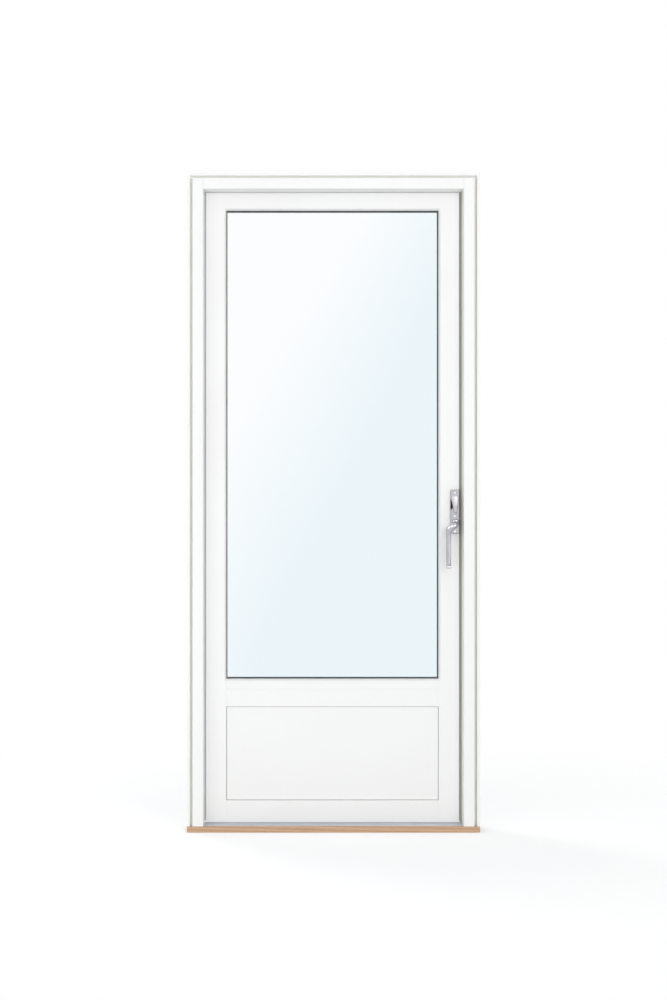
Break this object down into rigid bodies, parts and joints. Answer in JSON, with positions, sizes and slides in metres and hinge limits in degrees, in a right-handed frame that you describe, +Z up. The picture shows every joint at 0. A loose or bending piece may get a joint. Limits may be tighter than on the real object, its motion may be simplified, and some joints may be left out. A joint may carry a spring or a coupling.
{
  "type": "glazed patio door",
  "caption": "White timber patio door in its frame, glazed above a solid lower panel, opening outwards on side hinges, with a cranked lever handle and an oak threshold.",
  "frame": {"origin": "middle of the threshold's underside, under the middle of the frame's depth", "axes": "+X along the wall from the hinge side to the handle side as seen from the room, +Y out of the building, +Z up"},
  "size_m": [0.88, 0.143, 1.98],
  "materials": {
    "white_paint": "satin white paint on pine",
    "oak": "oiled oak",
    "panel_core": "insulating board, hidden",
    "aluminium": "natural anodised",
    "dark_rubber": "matt",
    "clear_glass": "clear",
    "zinc_steel": "zinc plated",
    "satin_chrome": "satin chrome"
  },
  "bodies": {
    "frame": {"threshold_oak": "oak", "threshold_rail": "aluminium", "threshold_seal": "dark_rubber", "frame_jamb_hinge": "white_paint", "frame_jamb_lock": "white_paint", "frame_head": "white_paint", "hinge_1_frame": "zinc_steel", "hinge_2_frame": "zinc_steel", "hinge_3_frame": "zinc_steel", "keep_1": "zinc_steel", "keep_2": "zinc_steel", "keep_3": "zinc_steel"},
    "leaf": {"leaf_stile_hinge": "white_paint", "leaf_stile_lock": "white_paint", "leaf_rail_top": "white_paint", "leaf_rail_middle": "white_paint", "leaf_rail_bottom": "white_paint", "leaf_panel_inner": "white_paint", "leaf_panel_core": "panel_core", "leaf_panel_outer": "white_paint", "glass_inner": "clear_glass", "glass_outer": "clear_glass", "glass_spacer": "aluminium", "glass_gasket_inner": "dark_rubber", "glass_gasket_outer": "dark_rubber", "glazing_bead_left": "white_paint", "glazing_bead_right": "white_paint", "glazing_bead_top": "white_paint", "glazing_bead_bottom": "aluminium", "leaf_seal_hinge": "dark_rubber", "leaf_seal_lock": "dark_rubber", "leaf_seal_top": "dark_rubber", "drip_bar": "aluminium", "hinge_1_leaf": "zinc_steel", "hinge_2_leaf": "zinc_steel", "hinge_3_leaf": "zinc_steel", "lock_faceplate": "zinc_steel", "handle_plate": "satin_chrome", "handle_screw_1": "satin_chrome", "handle_screw_2": "satin_chrome", "handle_screw_3": "satin_chrome"},
    "lever": {"lever": "satin_chrome", "lever_cap": "satin_chrome"},
    "catch": {"thumb_catch": "satin_chrome"}
  },
  "joints": [
    {"name": "leaf_hinge", "type": "hinge", "parent": "frame", "child": "leaf", "pos_m": [-0.4025, 0.0675, 1], "axis": [0, 0, 1], "range_deg": [0, 110]},
    {"name": "lever_turn", "type": "hinge", "parent": "leaf", "child": "lever", "pos_m": [0.369, -0.0165, 0.93], "axis": [0, 1, 0], "range_deg": [0, 90]},
    {"name": "catch_turn", "type": "hinge", "parent": "leaf", "child": "catch", "pos_m": [0.3675, -0.0165, 0.9995], "axis": [0, 1, 0], "range_deg": [0, 15]}
  ]
}
